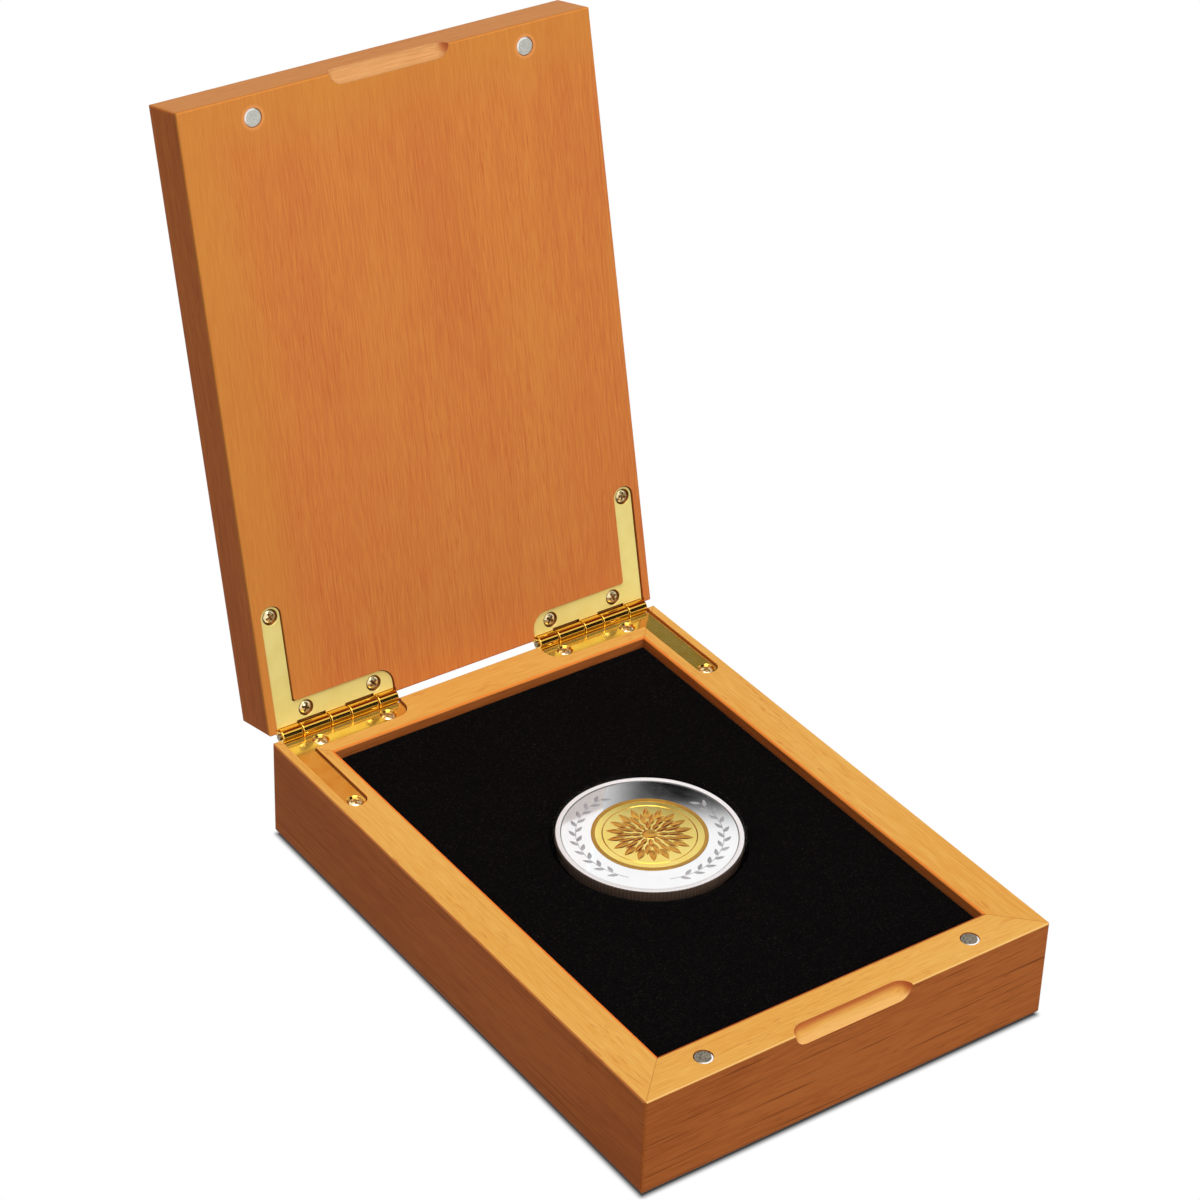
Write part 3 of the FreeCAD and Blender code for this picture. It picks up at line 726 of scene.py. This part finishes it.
def lamp(name, place, aim, size, power, colour=(1, 1, 1), mirrored_only=False):
    """A soft box, placed in metres. One that is mirrored only shows in polished metal and lights nothing
    else."""
    data = bpy.data.lights.new(name, "AREA")
    data.shape = "RECTANGLE"
    data.size, data.size_y = size
    data.energy = power
    data.color = colour
    made = bpy.data.objects.new(name, data)
    made.location = place
    made.rotation_euler = (Vector(aim) - Vector(place)).to_track_quat("-Z", "Y").to_euler()
    made.visible_camera = False
    made.visible_diffuse = not mirrored_only
    made.visible_transmission = False
    bpy.context.scene.collection.objects.link(made)


def sheet_of(name, size, material):
    """A flat sheet of the studio, lying level at the origin."""
    mesh = bmesh.new()
    bmesh.ops.create_grid(mesh, x_segments=1, y_segments=1, size=0.5)
    bmesh.ops.scale(mesh, vec=(*size, 1), verts=mesh.verts)
    data = bpy.data.meshes.new(name)
    mesh.to_mesh(data)
    mesh.free()
    data.materials.append(material)
    made = bpy.data.objects.new(name, data)
    bpy.context.scene.collection.objects.link(made)
    return made


def seen(finish):
    """1 for what the camera, a mirror or clear plastic looks at, and 0 for light on its way."""
    kinds = ("Is Camera Ray", "Is Glossy Ray", "Is Transmission Ray")
    straight, mirrored, through = (finish.node("LightPath", {}, {}, kind) for kind in kinds)
    return straight.at_least(mirrored + through)


def floor():
    """White paper, with a narrow painted shade round the foot of the case."""
    finish = Finish("studio_floor")
    paper = finish.node("BsdfDiffuse", {}, {"Color": (0.42, 0.42, 0.42, 1)})
    spot = finish.place()
    foot = [half - foot_inset for half in case_half]
    beside = [(abs(finish.axis(spot, name)) - half).at_least(0.0) for name, half in zip("XY", foot)]
    away = (beside[0] * beside[0] + beside[1] * beside[1]) ** 0.5
    # A painted shadow, by distance from the foot, in place of a cast one.
    shade = finish.step(away, -0.25, 1.65)
    bright = finish.node("Emission", {}, {"Color": shade, "Strength": 1.0})
    material = finish.close(finish.node("MixShader", {}, {0: seen(finish), 1: paper, 2: bright}))
    sheet_of("studio_floor", (8.0, 8.0), material)


def card(name, place, turn, size, dark, fades=None):
    """A card out of the picture, placed in metres, that glows with its own dark colour and shows only where
    polished metal mirrors it, as a painted reflection. It may fade to white, upwards and to the left,
    between two places each, in millimetres from its middle."""
    finish = Finish(name)
    colour = dark
    if fades:
        spot = finish.place()
        upper = finish.step(finish.axis(spot, "Y"), *fades[0])
        left = finish.step(finish.axis(spot, "X"), *fades[1])
        colour = finish.mix(upper.at_least(left), dark, (1, 1, 1, 1))
    made = sheet_of(name, size, finish.close(finish.node("Emission", {}, {"Color": colour})))
    made.location = place
    made.rotation_euler = [math.radians(angle) for angle in turn]
    made.visible_camera = False
    made.visible_diffuse = False
    made.visible_shadow = False
    made.visible_transmission = False


def backdrop():
    """White air that lights the case more softly than it looks."""
    world = bpy.data.worlds.new("studio")
    world.use_nodes = True
    bpy.context.scene.world = world
    finish = Finish("studio_air")
    finish.tree = world.node_tree
    finish.tree.nodes.clear()
    strength = 0.34 + seen(finish) * 0.66
    air = finish.node("Background", {}, {"Color": (1, 1, 1, 1), "Strength": strength})
    finish.node("OutputWorld", {}, {"Surface": air})
    bpy.data.materials.remove(finish.material)


def camera():
    """Looks down on the case from its front left corner."""
    data = bpy.data.cameras.new("camera")
    data.lens = camera_lens
    data.sensor_width = camera_sensor
    data.clip_start = 0.01
    made = bpy.data.objects.new("camera", data)
    stand = Matrix.Translation(Vector(camera_place) * mm)
    swing = Matrix.Rotation(math.radians(camera_swing), 4, "Z")
    tilt = Matrix.Rotation(math.radians(90 - camera_dip), 4, "X")
    roll = Matrix.Rotation(math.radians(camera_roll), 4, "Z")
    made.matrix_world = stand @ swing @ tilt @ roll
    bpy.context.scene.collection.objects.link(made)
    bpy.context.scene.camera = made


floor()
backdrop()
lamp("overhead", (-0.1, -0.25, 1.1), (0, 0, 0.05), (1.0, 1.0), 11)
lamp("front_fill", (0.35, -1.0, 0.55), (0, 0, 0.06), (0.7, 0.5), 3.0)
lamp(
    "coin_light", (0.0328, 0.0875, 0.107), (0.0328, 0.0, 0.1275), (0.0317, 0.039), 0.0036,
    (0.43, 0.85, 1.0), True,
)
lamp(
    "coin_shade", (0.0328, 0.0817, 0.082), (0.0328, 0.0, 0.1012), (0.0317, 0.0123), 0.00059,
    (0.0, 0.75, 1.0), True,
)
card("front_card", (0.35, -0.35, 0.32), (90, 0, 0), (0.6, 0.52), tone(16, 10, 6))
card("top_card", (0.25, 0.09, 0.36), (0, 0, 0), (0.48, 0.24), tone(110, 42, 24))
card("coin_card", (0.176, 0.243, 0.2275), (90, 0, -36), (0.12, 0.055), tone(8, 8, 9), ((7, 20), (8, -19)))
card("right_card", (0.064, 0.078, 0.044), (90, 0, 90), (0.04, 0.018), tone(26, 22, 14))
camera()
bpy.context.scene.view_settings.view_transform = "Standard"
